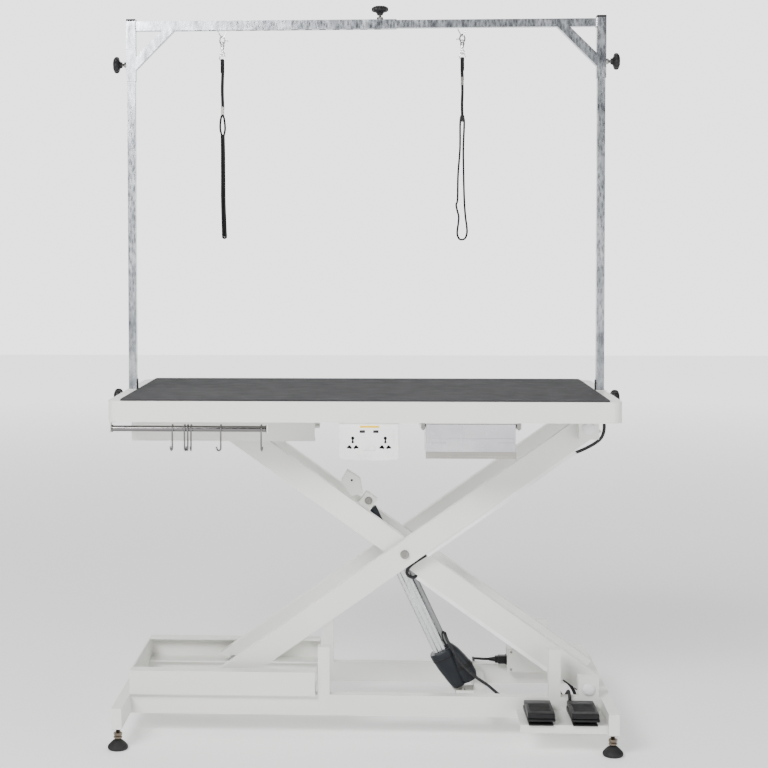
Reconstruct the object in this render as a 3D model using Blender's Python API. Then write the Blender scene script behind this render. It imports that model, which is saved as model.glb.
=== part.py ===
"""Electric scissor-lift grooming table: every separate piece as a closed solid, in metres, +Z up."""
import math

import bmesh
import bpy
from mathutils import Matrix, Vector

MM = 0.001

# Driving sizes, in millimetres.
TABLE_L, TABLE_W = 1250, 650
FRAME_Z0, FRAME_Z1, MAT_Z = 815, 866, 870
POST_X, POST, SLEEVE = 610, 20.4, 24
POST_Z0, POST_Z1 = 820, 1730
SLEEVE_Z0, SLEEVE_Z1 = 1674, 1832
ARM_Z0, ARM_Z1 = 1805, 1829
RAIL_IN, RAIL_OUT, RAIL_Z0, RAIL_Z1 = 145, 175, 56, 108
PIVOT_X, PIVOT_Z = 563, 130
LEG_L, LEG_ANGLE, LEG_H = 1129, math.radians(35.4), 60
A_IN, A_OUT, B_IN, B_OUT = 95, 125, 60, 90
TRACK_X0, TRACK_X1 = -594, -124
PIN_LOW, PIN_TOP = (252, 66), (10, 578)
TOP_Z = PIVOT_Z + LEG_L * math.sin(LEG_ANGLE)
ROLLER_X = PIVOT_X - LEG_L * math.cos(LEG_ANGLE)
STOP_X = (-102, 478)
HOOK_X = (-467, -437, -429, -421, -348, -249)
LEASH_X = (-371, 253)


def clear_scene():
    for thing in list(bpy.data.objects):
        bpy.data.objects.remove(thing, do_unlink=True)


def material(name, colour, metallic=0.0, roughness=0.5):
    found = bpy.data.materials.get(name)
    if found:
        return found
    made = bpy.data.materials.new(name)
    made.use_nodes = True
    shader = made.node_tree.nodes["Principled BSDF"]
    shader.inputs["Base Color"].default_value = (*colour, 1.0)
    shader.inputs["Metallic"].default_value = metallic
    shader.inputs["Roughness"].default_value = roughness
    return made


def white():
    return material("white_paint", (0.78, 0.78, 0.75), 0.0, 0.45)


def black():
    return material("black_plastic", (0.02, 0.02, 0.022), 0.0, 0.5)


def steel():
    return material("zinc_steel", (0.62, 0.62, 0.6), 1.0, 0.35)


def finish(bm, name, mat, cutter=False):
    """Turns a bmesh in millimetres into an object in metres, its faces pointing out."""
    bmesh.ops.scale(bm, vec=(MM, MM, MM), verts=bm.verts)
    bmesh.ops.recalc_face_normals(bm, faces=bm.faces)
    mesh = bpy.data.meshes.new(name)
    bm.to_mesh(mesh)
    bm.free()
    made = bpy.data.objects.new(name, mesh)
    bpy.context.scene.collection.objects.link(made)
    if mat:
        mesh.materials.append(mat)
    if cutter:
        made.hide_render = True
        made.display_type = "WIRE"
    return made


def prism_mesh(outline, axis, low, high):
    """A flat outline pushed along an axis: the outline is in the other two axes, in XYZ order."""
    bm = bmesh.new()
    rings = []
    for at in (low, high):
        ring = []
        for u, v in outline:
            place = {"x": (at, u, v), "y": (u, at, v), "z": (u, v, at)}[axis]
            ring.append(bm.verts.new(place))
        rings.append(ring)
    count = len(outline)
    for i in range(count):
        j = (i + 1) % count
        bm.faces.new((rings[0][i], rings[0][j], rings[1][j], rings[1][i]))
    bm.faces.new(rings[0])
    bm.faces.new(rings[1])
    return bm


def prism(name, outline, axis, low, high, mat=None, cutter=False):
    return finish(prism_mesh(outline, axis, low, high), name, mat, cutter)


def box(name, x, y, z, mat=None, cutter=False):
    outline = [(x[0], y[0]), (x[1], y[0]), (x[1], y[1]), (x[0], y[1])]
    return prism(name, outline, "z", z[0], z[1], mat, cutter)


def rounded(x, y, radius, steps=5):
    """A rectangle's outline with rounded corners."""
    points = []
    for cx, cy, start in (
        (x[1] - radius, y[1] - radius, 0),
        (x[0] + radius, y[1] - radius, 90),
        (x[0] + radius, y[0] + radius, 180),
        (x[1] - radius, y[0] + radius, 270),
    ):
        for k in range(steps + 1):
            a = math.radians(start + 90 * k / steps)
            points.append((cx + radius * math.cos(a), cy + radius * math.sin(a)))
    return points


def turned(name, profile, centre, axis, mat=None, sides=20, cutter=False):
    """A solid of revolution: profile is (distance along the axis, radius), closed by flat ends."""
    bm = bmesh.new()
    frame = Vector(axis).normalized().to_track_quat("Z", "Y").to_matrix()
    rings = []
    for along, radius in profile:
        ring = []
        for k in range(sides):
            a = 2 * math.pi * k / sides
            place = Vector((radius * math.cos(a), radius * math.sin(a), along))
            ring.append(bm.verts.new(Vector(centre) + frame @ place))
        rings.append(ring)
    for first, second in zip(rings, rings[1:]):
        for k in range(sides):
            j = (k + 1) % sides
            bm.faces.new((first[k], first[j], second[j], second[k]))
    bm.faces.new(rings[0])
    bm.faces.new(rings[-1])
    return finish(bm, name, mat, cutter)


def swept(name, path, section, side, mat=None, closed=False, cutter=False):
    """A section of (across, side) points carried along a path; side is a fixed direction."""
    bm = bmesh.new()
    path = [Vector(p) for p in path]
    side = Vector(side).normalized()
    count = len(path)
    rings = []
    for i, place in enumerate(path):
        before = path[(i - 1) % count] if closed or i else place
        after = path[(i + 1) % count] if closed or i < count - 1 else place
        along = (after - before).normalized()
        across = along.cross(side).normalized()
        if across.length < 0.5:
            across = along.orthogonal().normalized()
        up = across.cross(along).normalized()
        rings.append([bm.verts.new(place + across * u + up * v) for u, v in section])
    size = len(section)
    for i in range(count if closed else count - 1):
        first, second = rings[i], rings[(i + 1) % count]
        for k in range(size):
            j = (k + 1) % size
            bm.faces.new((first[k], first[j], second[j], second[k]))
    if not closed:
        bm.faces.new(rings[0])
        bm.faces.new(rings[-1])
    return finish(bm, name, mat, cutter)


def circle(radius, sides=8):
    return [
        (radius * math.cos(2 * math.pi * k / sides), radius * math.sin(2 * math.pi * k / sides))
        for k in range(sides)
    ]


def combine(target, other, operation):
    other.hide_render = True
    other.display_type = "WIRE"
    step = target.modifiers.new("with_" + other.name, "BOOLEAN")
    step.operation = operation
    step.solver = "EXACT"
    step.object = other
    return target


def join(target, *others):
    for other in others:
        combine(target, other, "UNION")
    return target


def cut(target, *others):
    for other in others:
        combine(target, other, "DIFFERENCE")
    return target


def smooth_path(points, steps=4):
    """A rounded line through the points (Catmull-Rom)."""
    points = [Vector(p) for p in points]
    full = [2 * points[0] - points[1], *points, 2 * points[-1] - points[-2]]
    out = []
    for a, b, c, d in zip(full, full[1:], full[2:], full[3:]):
        for k in range(steps):
            t = k / steps
            out.append(
                0.5 * ((2 * b) + (c - a) * t + (2 * a - 5 * b + 4 * c - d) * t**2 + (3 * b - a - 3 * c + d) * t**3)
            )
    out.append(points[-1])
    return out


# Base.


def base_frame():
    for side, name in ((-1, "foot_bar_left"), (1, "foot_bar_right")):
        xs = sorted((side * 594, side * 620))
        box(name, xs, (-320, 320), (RAIL_Z0, RAIL_Z1), white())
    for side, name in ((-1, "rail_front"), (1, "rail_rear")):
        ys = sorted((side * RAIL_IN, side * RAIL_OUT))
        rail = box(name, (-594, 594), ys, (RAIL_Z0, RAIL_Z1), white())
        for k, x in enumerate(STOP_X):
            stop = box(f"{name}_stop_{k}", (x - 15, x + 15), ys, (RAIL_Z1 - 5, 229))
            join(rail, stop)
        seat = box(f"{name}_seat", (PIVOT_X - 25.5, PIVOT_X + 25.5), ys, (RAIL_Z1 - 5, 160))
        join(rail, seat)
        bore = turned(
            f"{name}_bore", ((-60, 8.3), (60, 8.3)), (PIVOT_X, side * 160, PIVOT_Z), (0, 1, 0), None, 16, True
        )
        cut(rail, bore)


def roller_track():
    """Two channels open to the middle, tied by a plate at each end."""
    track = box("roller_track", (TRACK_X0, TRACK_X0 + 4), (-190, 190), (RAIL_Z1, 168), white())
    tie = box("track_tie", (TRACK_X1 - 4, TRACK_X1), (-190, 190), (RAIL_Z1, 118), None, True)
    join(track, tie)
    for side in (-1, 1):
        tag = "front" if side < 0 else "rear"
        wall = box(f"track_wall_{tag}", (TRACK_X0, TRACK_X1), sorted((side * 186, side * 190)), (RAIL_Z1, 168))
        floor = box(
            f"track_floor_{tag}", (TRACK_X0, TRACK_X1), sorted((side * 129, side * 188)), (RAIL_Z1, RAIL_Z1 + 4)
        )
        lip = box(f"track_lip_{tag}", (TRACK_X0, TRACK_X1), sorted((side * 152, side * 188)), (164, 168))
        join(track, wall, floor, lip)


def pedal_shelf():
    outline = [(-RAIL_OUT, 72), (-RAIL_OUT, 76), (-303, 76), (-303, 56), (-300, 56), (-300, 72)]
    prism("pedal_shelf", outline, "x", 382, 593.7, white())


def pedals():
    outline = [(-190, 81), (-190, 98), (-196, 104), (-300, 108), (-314, 104), (-316, 88), (-312, 86)]
    for name, x in (("pedal_left", (398, 466)), ("pedal_right", (505, 573))):
        prism(name, outline, "x", x[0], x[1], black())


def actuator_bracket():
    bracket = box("actuator_bracket", (285, 315), (-RAIL_IN, RAIL_IN), (60, 96), white())
    for side in (-1, 1):
        tag = "front" if side < 0 else "rear"
        ys = sorted((side * 24, side * 29))
        join(bracket, box(f"bracket_lug_{tag}", (238, 300), ys, (50, 82)))
    pin = turned("bracket_pin", ((-33, 6), (33, 6)), (PIN_LOW[0], 0, PIN_LOW[1]), (0, 1, 0), None, 12)
    join(bracket, pin)


def control_box():
    box("control_box", (380, 553), (96, RAIL_IN), (98, 163), white())


def levelling_feet():
    profile = ((0, 23), (3, 25.5), (9, 25.5), (20, 17), (29, 8), (31, 8), (31, 11), (43, 11), (43, 5), (55.7, 5))
    for tag_x, x in (("left", -607), ("right", 607)):
        for tag_y, y in (("front", -295), ("rear", 295)):
            turned(f"foot_{tag_x}_{tag_y}", profile, (x, y, 0), (0, 0, 1), black(), 16)


# Lift.


def along_leg(leg, s, p=0.0):
    """The place (x, z) at s along a leg from its right end and p above its centre line."""
    c, h = math.cos(LEG_ANGLE), math.sin(LEG_ANGLE)
    if leg == "b":
        return PIVOT_X - s * c + p * h, PIVOT_Z + s * h + p * c
    return PIVOT_X - s * c - p * h, TOP_Z - s * h + p * c


def leg_outline(leg, s0, s1, p0, p1):
    return [along_leg(leg, s0, p0), along_leg(leg, s1, p0), along_leg(leg, s1, p1), along_leg(leg, s0, p1)]


def legs():
    half = LEG_H / 2
    for leg, inner, outer in (("a", A_IN, A_OUT), ("b", B_IN, B_OUT)):
        for side in (-1, 1):
            tag = "front" if side < 0 else "rear"
            ys = sorted((side * inner, side * outer))
            outline = leg_outline(leg, -22, LEG_L + 22, -half, half)
            if leg == "a":
                # The lower end is cut level so that it passes over the rail.
                outline[1] = along_leg(leg, LEG_L - 14, -half)
            tube = prism(f"leg_{leg}_{tag}", outline, "y", ys[0], ys[1], white())
            for k, s in enumerate((0, LEG_L / 2, LEG_L)):
                x, z = along_leg(leg, s)
                mid = side * (inner + outer) / 2
                bore = turned(
                    f"leg_{leg}_{tag}_bore_{k}", ((-40, 8.3), (40, 8.3)), (x, mid, z), (0, 1, 0), None, 16, True
                )
                cut(tube, bore)


def lift_cross_tube():
    """The tube between the inner legs that the actuator's rod pushes on, with its lugs."""
    tube = prism("lift_cross_tube", leg_outline("b", 691, 729, -22, 14), "y", -B_IN, B_IN, white())
    for side in (-1, 1):
        tag = "front" if side < 0 else "rear"
        ys = sorted((side * 15, side * 20))
        join(tube, prism(f"cross_lug_{tag}", leg_outline("b", 692, 728, 10, 60), "y", ys[0], ys[1]))
    pin = turned("cross_pin", ((-24, 7), (-18, 7), (-18, 15), (18, 15), (18, 7), (24, 7)), (PIN_TOP[0], 0, PIN_TOP[1]), (0, 1, 0), None, 16)
    join(tube, pin)


def shafts():
    for name, x, z, profile in (
        ("shaft_lower", PIVOT_X, PIVOT_Z, ((-181, 11), (-176, 15), (-175.3, 15), (-175.3, 8))),
        ("shaft_upper", PIVOT_X, TOP_Z, ((-166, 11), (-161, 15), (-160.3, 15), (-160.3, 8))),
    ):
        mirrored = tuple((-a, r) for a, r in reversed(profile))
        turned(name, profile + mirrored, (x, 0, z), (0, 1, 0), steel(), 16)


def centre_bolts():
    x, z = along_leg("a", LEG_L / 2)
    profile = ((58, 12), (59.7, 12), (59.7, 8), (125.3, 8), (125.3, 10.5), (131, 10.5))
    for side, tag in ((-1, "front"), (1, "rear")):
        turned(f"centre_bolt_{tag}", profile, (x, 0, z), (0, side, 0), steel(), 16)


def rollers():
    for name, leg, radius, y0, y1 in (("rollers_lower", "a", 18, 131, 150), ("rollers_upper", "b", 25, 131, 158)):
        x, z = along_leg(leg, LEG_L)
        half = ((-y1, radius), (-y0, radius), (-y0, 8))
        mirrored = tuple((-a, r) for a, r in reversed(half))
        turned(name, half + mirrored, (x, 0, z), (0, 1, 0), steel(), 20)


def ducts():
    prism("duct_a", leg_outline("a", 60, 520, -LEG_H / 2 - 10.3, -LEG_H / 2 - 0.3), "y", -122, -98, white())
    prism("duct_b", leg_outline("b", 90, 500, -LEG_H / 2 - 10.3, -LEG_H / 2 - 0.3), "y", -88, -63, white())


def actuator():
    """A motor at the foot of a drawn tube, and the rod that comes out of it."""
    low = Vector((PIN_LOW[0], 0, PIN_LOW[1]))
    top = Vector((PIN_TOP[0], 0, PIN_TOP[1]))
    axis = (top - low).normalized()
    right = Vector((axis.z, 0, -axis.x))
    body = turned("actuator_body", ((24, 22), (34, 24), (125, 31), (127, 17.5), (395, 17.5)), low, axis, black(), 16)
    motor = turned("actuator_motor", ((22, 19), (30, 21), (126, 21), (136, 12)), low + right * 33, axis, None, 14)
    eye = turned("actuator_eye", ((-16, 15), (16, 15)), low, (0, 1, 0), None, 16)
    neck = turned("actuator_neck", ((6, 10), (30, 10)), low, axis, None, 12)
    bore = turned("actuator_bore", ((127, 11.5), (420, 11.5)), low, axis, None, 16, True)
    hole = turned("actuator_hole", ((-30, 6.4), (30, 6.4)), low, (0, 1, 0), None, 16, True)
    join(body, motor, neck, eye)
    cut(body, bore, hole)
    length = (top - low).length
    turned("actuator_rod", ((305, 11), (length - 22, 11)), low, axis, black(), 16)


# Table top.


def table_top():
    x, y = TABLE_L / 2, TABLE_W / 2
    frame = prism("table_frame", rounded((-x, x), (-y, y), 30), "z", FRAME_Z0, FRAME_Z1, white())
    pocket = box("table_pocket", (-590, 590), (-300, 300), (FRAME_Z0 - 10, 846), None, True)
    cut(frame, pocket)
    half = POST / 2 + 0.3
    for side in (-1, 1):
        tag = "left" if side < 0 else "right"
        c = side * POST_X
        hole = box(f"post_hole_{tag}", (c - half, c + half), (-half, half), (FRAME_Z0 - 10, FRAME_Z1 + 10), None, True)
        cut(frame, hole)
        ys = sorted((side * 128, side * 160))
        block = box(f"top_block_{tag}", (PIVOT_X - 25, PIVOT_X + 25), ys, (757, 850))
        join(frame, block)
        place = (PIVOT_X, side * 144, TOP_Z)
        cut(frame, turned(f"top_block_bore_{tag}", ((-60, 8.3), (60, 8.3)), place, (0, 1, 0), None, 16, True))
    prism("table_mat", rounded((-594, 594), (-319, 319), 8, 3), "z", FRAME_Z1, MAT_Z, black())


def upper_channels():
    for side, name in ((-1, "guide_front"), (1, "guide_rear")):
        guide = box(name, (-589, TRACK_X1), sorted((side * 161, side * 165)), (750, 846), white())
        low = box(f"{name}_low", (-589, TRACK_X1), sorted((side * 129, side * 163)), (750, 754))
        high = box(f"{name}_high", (-589, TRACK_X1), sorted((side * 129, side * 163)), (812, 816))
        join(guide, low, high)


def socket_panel():
    outline = [(-59, FRAME_Z0), (-59, 729), (-50, 723), (78, 723), (87, 729), (87, FRAME_Z0)]
    prism("socket_panel", outline, "y", -319, -268, white())


def drawer():
    body = box("drawer", (152, 368), (-320, -142), (728, 807), material("clear_plastic", (0.6, 0.6, 0.62)))
    inside = box("drawer_inside", (155, 365), (-317, -145), (731, 830), None, True)
    flange_l = box("drawer_flange_left", (146, 154), (-320, -142), (804, 807))
    flange_r = box("drawer_flange_right", (366, 374), (-320, -142), (804, 807))
    cut(join(body, flange_l, flange_r), inside)
    hanger = box("drawer_hanger", (138, 382), (-318, -142), (812, FRAME_Z0), white())
    for tag, wall, lip in (("left", (138, 141), (138, 150)), ("right", (379, 382), (370, 382))):
        join(hanger, box(f"hanger_wall_{tag}", wall, (-318, -142), (799, 813)))
        join(hanger, box(f"hanger_lip_{tag}", lip, (-318, -142), (799, 802)))


def tool_rail():
    rail = turned("tool_rail", ((-621, 7.5), (-232, 7.5)), (0, -295, 796), (1, 0, 0), steel(), 12)
    for tag, x in (("left", (-621, -617)), ("right", (-236, -232))):
        join(rail, box(f"rail_end_{tag}", x, (-313, -287.5), (788, FRAME_Z0)))


def s_hooks():
    r = 9.9
    for k, x in enumerate(HOOK_X):
        path = []
        for a in range(-20, 181, 25):
            t = math.radians(a)
            path.append((x, -295 + r * math.cos(t), 796 + r * math.sin(t)))
        low = 796 - 46
        for a in range(180, 351, 24):
            t = math.radians(a)
            path.append((x, -295 - r + 8 + 8 * math.cos(t), low + 8 * math.sin(t)))
        swept(f"s_hook_{k + 1}", path, circle(2, 6), (1, 0, 0), steel())


# Arm.


def posts():
    half = POST / 2
    for side, name in ((-1, "post_left"), (1, "post_right")):
        c = side * POST_X
        box(name, (c - half, c + half), (-half, half), (POST_Z0, POST_Z1), steel())


def brace(name, side, tube_low):
    """A tube at 45 degrees from the sleeve to the cross tube."""
    inner = POST_X - SLEEVE / 2
    reach = 92
    run = [
        (side * (inner + 3), tube_low - reach - 13),
        (side * (inner - reach - 13 - 3), tube_low + 6),
        (side * (inner - reach + 16), tube_low + 6),
        (side * (inner + 3), tube_low - reach + 20),
    ]
    return prism(name, run, "y", -SLEEVE / 2, SLEEVE / 2)


def arm():
    half, bore = SLEEVE / 2, POST / 2 + 0.3
    for side, name, reach, size in ((-1, "arm_outer", 83, SLEEVE / 2), (1, "arm_inner", -60, POST / 2)):
        c = side * POST_X
        sleeve = box(name, (c - half, c + half), (-half, half), (SLEEVE_Z0, SLEEVE_Z1), steel())
        mid = (ARM_Z0 + ARM_Z1) / 2
        tube = box(f"{name}_tube", sorted((reach, side * (POST_X - 6))), (-size, size), (mid - size, mid + size))
        join(sleeve, tube, brace(f"{name}_brace", side, mid - size))
        inside = box(f"{name}_inside", (c - bore, c + bore), (-bore, bore), (SLEEVE_Z0 - 10, 1800), None, True)
        cut(sleeve, inside)
        if side < 0:
            hollow = box("arm_outer_hollow", (-70, 100), (-bore, bore), (mid - bore, mid + bore), None, True)
            cut(sleeve, hollow)


def knobs():
    small = ((0.3, 4), (18, 4), (18, 9), (22, 10), (23, 21), (33, 22), (36, 20))
    large = ((0.3, 13), (8, 14), (14, 24), (28, 26), (35, 23))
    face = POST_X + SLEEVE / 2
    for side, tag in ((-1, "left"), (1, "right")):
        turned(f"knob_sleeve_{tag}", small, (side * face, 0, 1717), (side, 0, 0), black(), 12)
        turned(f"knob_table_{tag}", large, (side * TABLE_L / 2, 0, 842), (side, 0, 0), black(), 12)
    turned("knob_centre", small, (40, 0, ARM_Z1), (0, 0, 1), black(), 12)


# Leashes.


def band_loop(name, centre_x, z0, z1, width, thick, depth, mat=None):
    """A closed upright loop of webbing."""
    path = []
    radius = width / 2
    for top, sign, start in ((z1 - radius, 1, 0), (z0 + radius, -1, 180)):
        for k in range(7):
            a = math.radians(start + 30 * k)
            path.append((centre_x + radius * math.cos(a), 0, top + radius * math.sin(a)))
    section = [(-thick / 2, -depth / 2), (thick / 2, -depth / 2), (thick / 2, depth / 2), (-thick / 2, depth / 2)]
    return swept(name, path, section, (0, 1, 0), mat, True)


def leashes():
    for k, x in enumerate(LEASH_X):
        tag = ("left", "right")[k]
        top = ARM_Z0 - 2.3
        bail = swept(
            f"leash_hook_{tag}",
            smooth_path([(x - 10, 0, top), (x - 6, 0, top - 9), (x, 0, top - 14), (x + 6, 0, top - 9), (x + 10, 0, top)], 3),
            circle(1.6, 6),
            (0, 1, 0),
            steel(),
        )
        body = box(f"hook_body_{tag}", (x - 5, x + 5), (-3, 3), (top - 66, top - 10))
        eye = turned(f"hook_eye_{tag}", ((-3, 8), (3, 8)), (x, 0, top - 24), (0, 1, 0), None, 12)
        ring = turned(f"hook_ring_{tag}", ((-2, 10), (2, 10)), (x, 0, top - 68), (0, 1, 0), None, 12)
        join(bail, body, eye, ring)
    web = material("webbing", (0.02, 0.02, 0.02), 0.0, 0.9)
    x = LEASH_X[0]
    strap = box("leash_strap_left", (x - 5, x + 5), (-2, 2), (1606, 1724), web)
    join(strap, box("crimp_left", (x - 6.5, x + 6.5), (-4, 4), (1588, 1610)))
    join(strap, band_loop("eye_loop_left", x, 1526, 1592, 12, 3, 9))
    join(strap, band_loop("noose_left", x, 1262, 1530, 10, 4, 9))
    x = LEASH_X[1]
    strap = box("leash_strap_right", (x - 5, x + 5), (-2, 2), (1675, 1724), web)
    join(strap, box("crimp_right", (x - 6.5, x + 6.5), (-4, 4), (1659, 1680)))
    join(strap, band_loop("upper_loop_right", x, 1576, 1664, 9, 3, 9))
    join(strap, box("slider_right", (x - 8, x + 8), (-5, 5), (1565, 1585)))
    join(strap, band_loop("noose_right", x, 1256, 1570, 26, 3, 9))


# Cables.

MAINS_RUN = [
    (335, 120, 128), (318, 121, 128), (303, 128, 127), (294, 142, 124), (292, 160, 121), (294, 182, 113),
    (297, 202, 96), (298, 222, 78), (297, 246, 62), (294, 270, 50), (290, 295, 40), (284, 320, 31),
    (275, 345, 22), (264, 370, 12), (255, 394, 5.5), (250, 412, 3.7), (248.5, 430, 3.5),
]
MOTOR_RUN = [
    (209, -10, 230), (214, -20, 216), (223, -28, 200), (243, -31, 165), (262, -33, 143), (288, -37, 121),
    (318, -42, 102), (337, -46, 87), (354, -49, 74), (372, -50, 60), (396, -44, 44), (430, -20, 34), (470, 40, 32),
    (503, 90, 34), (514, 112, 46), (517, 118, 70), (517, 118, 97.3),
]
MAINS_TAIL = [(248.5, 430, 17.5), (250, 448, 20), (258, 462, 24), (276, 470, 25.5), (298, 466, 25)]
COIL_CENTRE, COIL_RADII, COIL_HEIGHTS = (290, 430), (41.5, 34.5, 34.5, 41.5, 41.5), (3.5, 3.5, 10.5, 10.5, 17.5)
COIL_STEPS = 16


def coil_points():
    """Five turns, side by side and on each other, starting at the coil's left."""
    points = []
    for turn, (radius, height) in enumerate(zip(COIL_RADII, COIL_HEIGHTS)):
        last = turn == len(COIL_RADII) - 1
        r1, z1 = (radius, height) if last else (COIL_RADII[turn + 1], COIL_HEIGHTS[turn + 1])
        for k in range(COIL_STEPS + (1 if last else 0)):
            share = max(0.0, (k / COIL_STEPS - 0.75) / 0.25)
            r, z = radius + (r1 - radius) * share, height + (z1 - height) * share
            a = math.pi - 2 * math.pi * k / COIL_STEPS
            points.append(Vector((COIL_CENTRE[0] + r * math.cos(a), COIL_CENTRE[1] + r * math.sin(a), z)))
    return points


def cables():
    tube = black()
    mains = [*smooth_path(MAINS_RUN, 3)[:-1], *coil_points(), *smooth_path(MAINS_TAIL, 2)[1:]]
    swept("mains_cord", mains, circle(3.5, 6), (0.02, 0.03, 1), tube)
    pedal = smooth_path([(515, -181.5, 96), (515, -180, 113), (515, -150, 118), (512, -120, 100), (508, -80, 86), (506, 0, 80), (503, 60, 80), (502, 88, 82), (500, 106, 92)], 3)
    swept("pedal_cable", pedal, circle(4, 6), (0.05, 0.02, 1), tube)
    motor = smooth_path(MOTOR_RUN, 3)
    swept("motor_cable", motor, circle(4, 6), (0.05, 1, 0.02), tube)


def build():
    clear_scene()
    base_frame()
    roller_track()
    pedal_shelf()
    pedals()
    actuator_bracket()
    control_box()
    levelling_feet()
    legs()
    lift_cross_tube()
    shafts()
    centre_bolts()
    rollers()
    ducts()
    actuator()
    table_top()
    upper_channels()
    socket_panel()
    drawer()
    tool_rail()
    s_hooks()
    posts()
    arm()
    knobs()
    leashes()
    cables()


build()
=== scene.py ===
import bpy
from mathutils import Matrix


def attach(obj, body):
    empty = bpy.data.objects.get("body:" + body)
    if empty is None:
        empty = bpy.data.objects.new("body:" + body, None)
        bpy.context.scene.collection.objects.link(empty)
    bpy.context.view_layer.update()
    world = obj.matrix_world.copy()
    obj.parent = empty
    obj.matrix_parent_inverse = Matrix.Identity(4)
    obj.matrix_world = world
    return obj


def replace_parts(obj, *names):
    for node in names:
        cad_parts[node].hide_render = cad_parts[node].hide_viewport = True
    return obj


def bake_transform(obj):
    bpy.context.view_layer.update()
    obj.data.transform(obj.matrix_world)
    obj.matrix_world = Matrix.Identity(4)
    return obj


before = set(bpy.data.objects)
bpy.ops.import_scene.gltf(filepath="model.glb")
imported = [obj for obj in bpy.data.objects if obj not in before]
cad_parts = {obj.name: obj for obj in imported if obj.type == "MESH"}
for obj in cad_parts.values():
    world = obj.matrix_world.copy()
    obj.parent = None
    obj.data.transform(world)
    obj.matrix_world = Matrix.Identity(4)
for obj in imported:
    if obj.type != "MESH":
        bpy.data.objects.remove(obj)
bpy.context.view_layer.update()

import math

import bmesh
import bpy
from mathutils import Matrix, Vector

# An electric scissor-lift grooming table: the look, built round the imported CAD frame.
# Sizes are in millimetres until a mesh is placed. -Y is the front, and side is -1 or 1.
MM = 0.001
SIDES_X, SIDES_Y = ((-1, "left"), (1, "right")), ((-1, "front"), (1, "rear"))

# Driving sizes, the same as the CAD's.
PIVOT_X, PIVOT_Z = 563, 130
LEG_LENGTH, LEG_ANGLE = 1129, math.radians(35.4)
TOP_Z = PIVOT_Z + LEG_LENGTH * math.sin(LEG_ANGLE)
ROLLER_X = PIVOT_X - LEG_LENGTH * math.cos(LEG_ANGLE)
PIN_LOW, PIN_TOP = Vector((252, 0, 66)), Vector((10, 0, 578))
ACTUATOR_AXIS = (PIN_TOP - PIN_LOW).normalized()
ACTUATOR_ACROSS = Vector((ACTUATOR_AXIS.z, 0, -ACTUATOR_AXIS.x))
TUBE_END = 395
ARM_Z0, ARM_Z1 = 1805, 1829
POST_X, FOOT_X, FOOT_Y = 610, 607, 295
FRAME_LOW, PANEL_Y = 815, -319
RAIL_Y, RAIL_Z = -295, 796
HOOK_X, HOOK_SWING = (-467, -437, -429, -421, -348, -249), (24, -9, 16, 12, 46, -5)
LEASH_X, STRAP_TOP = (-371, 253), 1731

# Clamp knobs: where they stand, and the size of the smaller ones.
SLEEVE_FACE_X, SLEEVE_KNOB_Z = 622, 1717
TABLE_END_X, TABLE_KNOB_Z = 625, 842
ARM_KNOB_X = 40
KNOB_RADIUS, KNOB_THICK, KNOB_REACH, KNOB_LOBES = 22, 17, 36, 8

# Light levels: the world at the front and behind, and the floor's glow near and far.
ROOM_LIGHT, BACKDROP_LIGHT, FLOOR_GLOW = 0.24, 2.6, (0.36, 1.75)
FLOOR_HALF = 14000

# ---- helpers ----


def add_object(name, data):
    made = bpy.data.objects.new(name, data)
    bpy.context.scene.collection.objects.link(made)
    return made


def place_mesh(name, bm, mat, body, smooth=True, sharp=40):
    """A bmesh in millimetres becomes a piece in metres that rides on a body."""
    bmesh.ops.scale(bm, vec=(MM, MM, MM), verts=bm.verts)
    bmesh.ops.recalc_face_normals(bm, faces=bm.faces)
    mesh = bpy.data.meshes.new(name)
    bm.to_mesh(mesh)
    bm.free()
    made = add_object(name, mesh)
    mesh.materials.append(mat)
    if smooth:
        for face in mesh.polygons:
            face.use_smooth = True
        mesh.set_sharp_from_angle(angle=math.radians(sharp))
    if body:
        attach(made, body)
    return made


def soften(obj, width, segments=2, angle=40):
    """A small rounded edge, as paint or moulding leaves it."""
    step = obj.modifiers.new("soft_edges", "BEVEL")
    step.width = width * MM
    step.segments = segments
    step.limit_method = "ANGLE"
    step.angle_limit = math.radians(angle)
    step.use_clamp_overlap = True
    step.miter_outer = "MITER_ARC"
    return obj


def skin(bm, rings, closed=False):
    """Faces between rings of vertices; the ends are capped unless the rings close up."""
    pairs = list(zip(rings, rings[1:]))
    if closed:
        pairs.append((rings[-1], rings[0]))
    for first, second in pairs:
        for k, vert in enumerate(first):
            j = (k + 1) % len(first)
            bm.faces.new((vert, first[j], second[j], second[k]))
    if not closed:
        bm.faces.new(rings[0])
        bm.faces.new(rings[-1])
    return bm


def prism_mesh(bm, outline, axis, low, high):
    """An outline pushed along an axis, its pairs in the order of the other two axes."""
    rings = []
    for at in (low, high):
        places = [{"x": (at, u, v), "y": (u, at, v), "z": (u, v, at)}[axis] for u, v in outline]
        rings.append([bm.verts.new(place) for place in places])
    return skin(bm, rings)


def prism(name, outline, axis, low, high, mat, body, slot=None, soft=0.0, segments=2):
    made = place_mesh(name, prism_mesh(bmesh.new(), outline, axis, low, high), mat, body)
    return soften(made, soft, segments) if soft else made


def block(name, x, y, z, mat, body, slot=None, soft=1.0, segments=2):
    outline = [(x[0], y[0]), (x[1], y[0]), (x[1], y[1]), (x[0], y[1])]
    return prism(name, outline, "z", z[0], z[1], mat, body, slot, soft, segments)


def rounded(x, y, radius, steps=6):
    points = []
    for cx, cy, start in (
        (x[1] - radius, y[1] - radius, 0),
        (x[0] + radius, y[1] - radius, 90),
        (x[0] + radius, y[0] + radius, 180),
        (x[1] - radius, y[0] + radius, 270),
    ):
        for k in range(steps + 1):
            a = math.radians(start + 90 * k / steps)
            points.append((cx + radius * math.cos(a), cy + radius * math.sin(a)))
    return points


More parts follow.
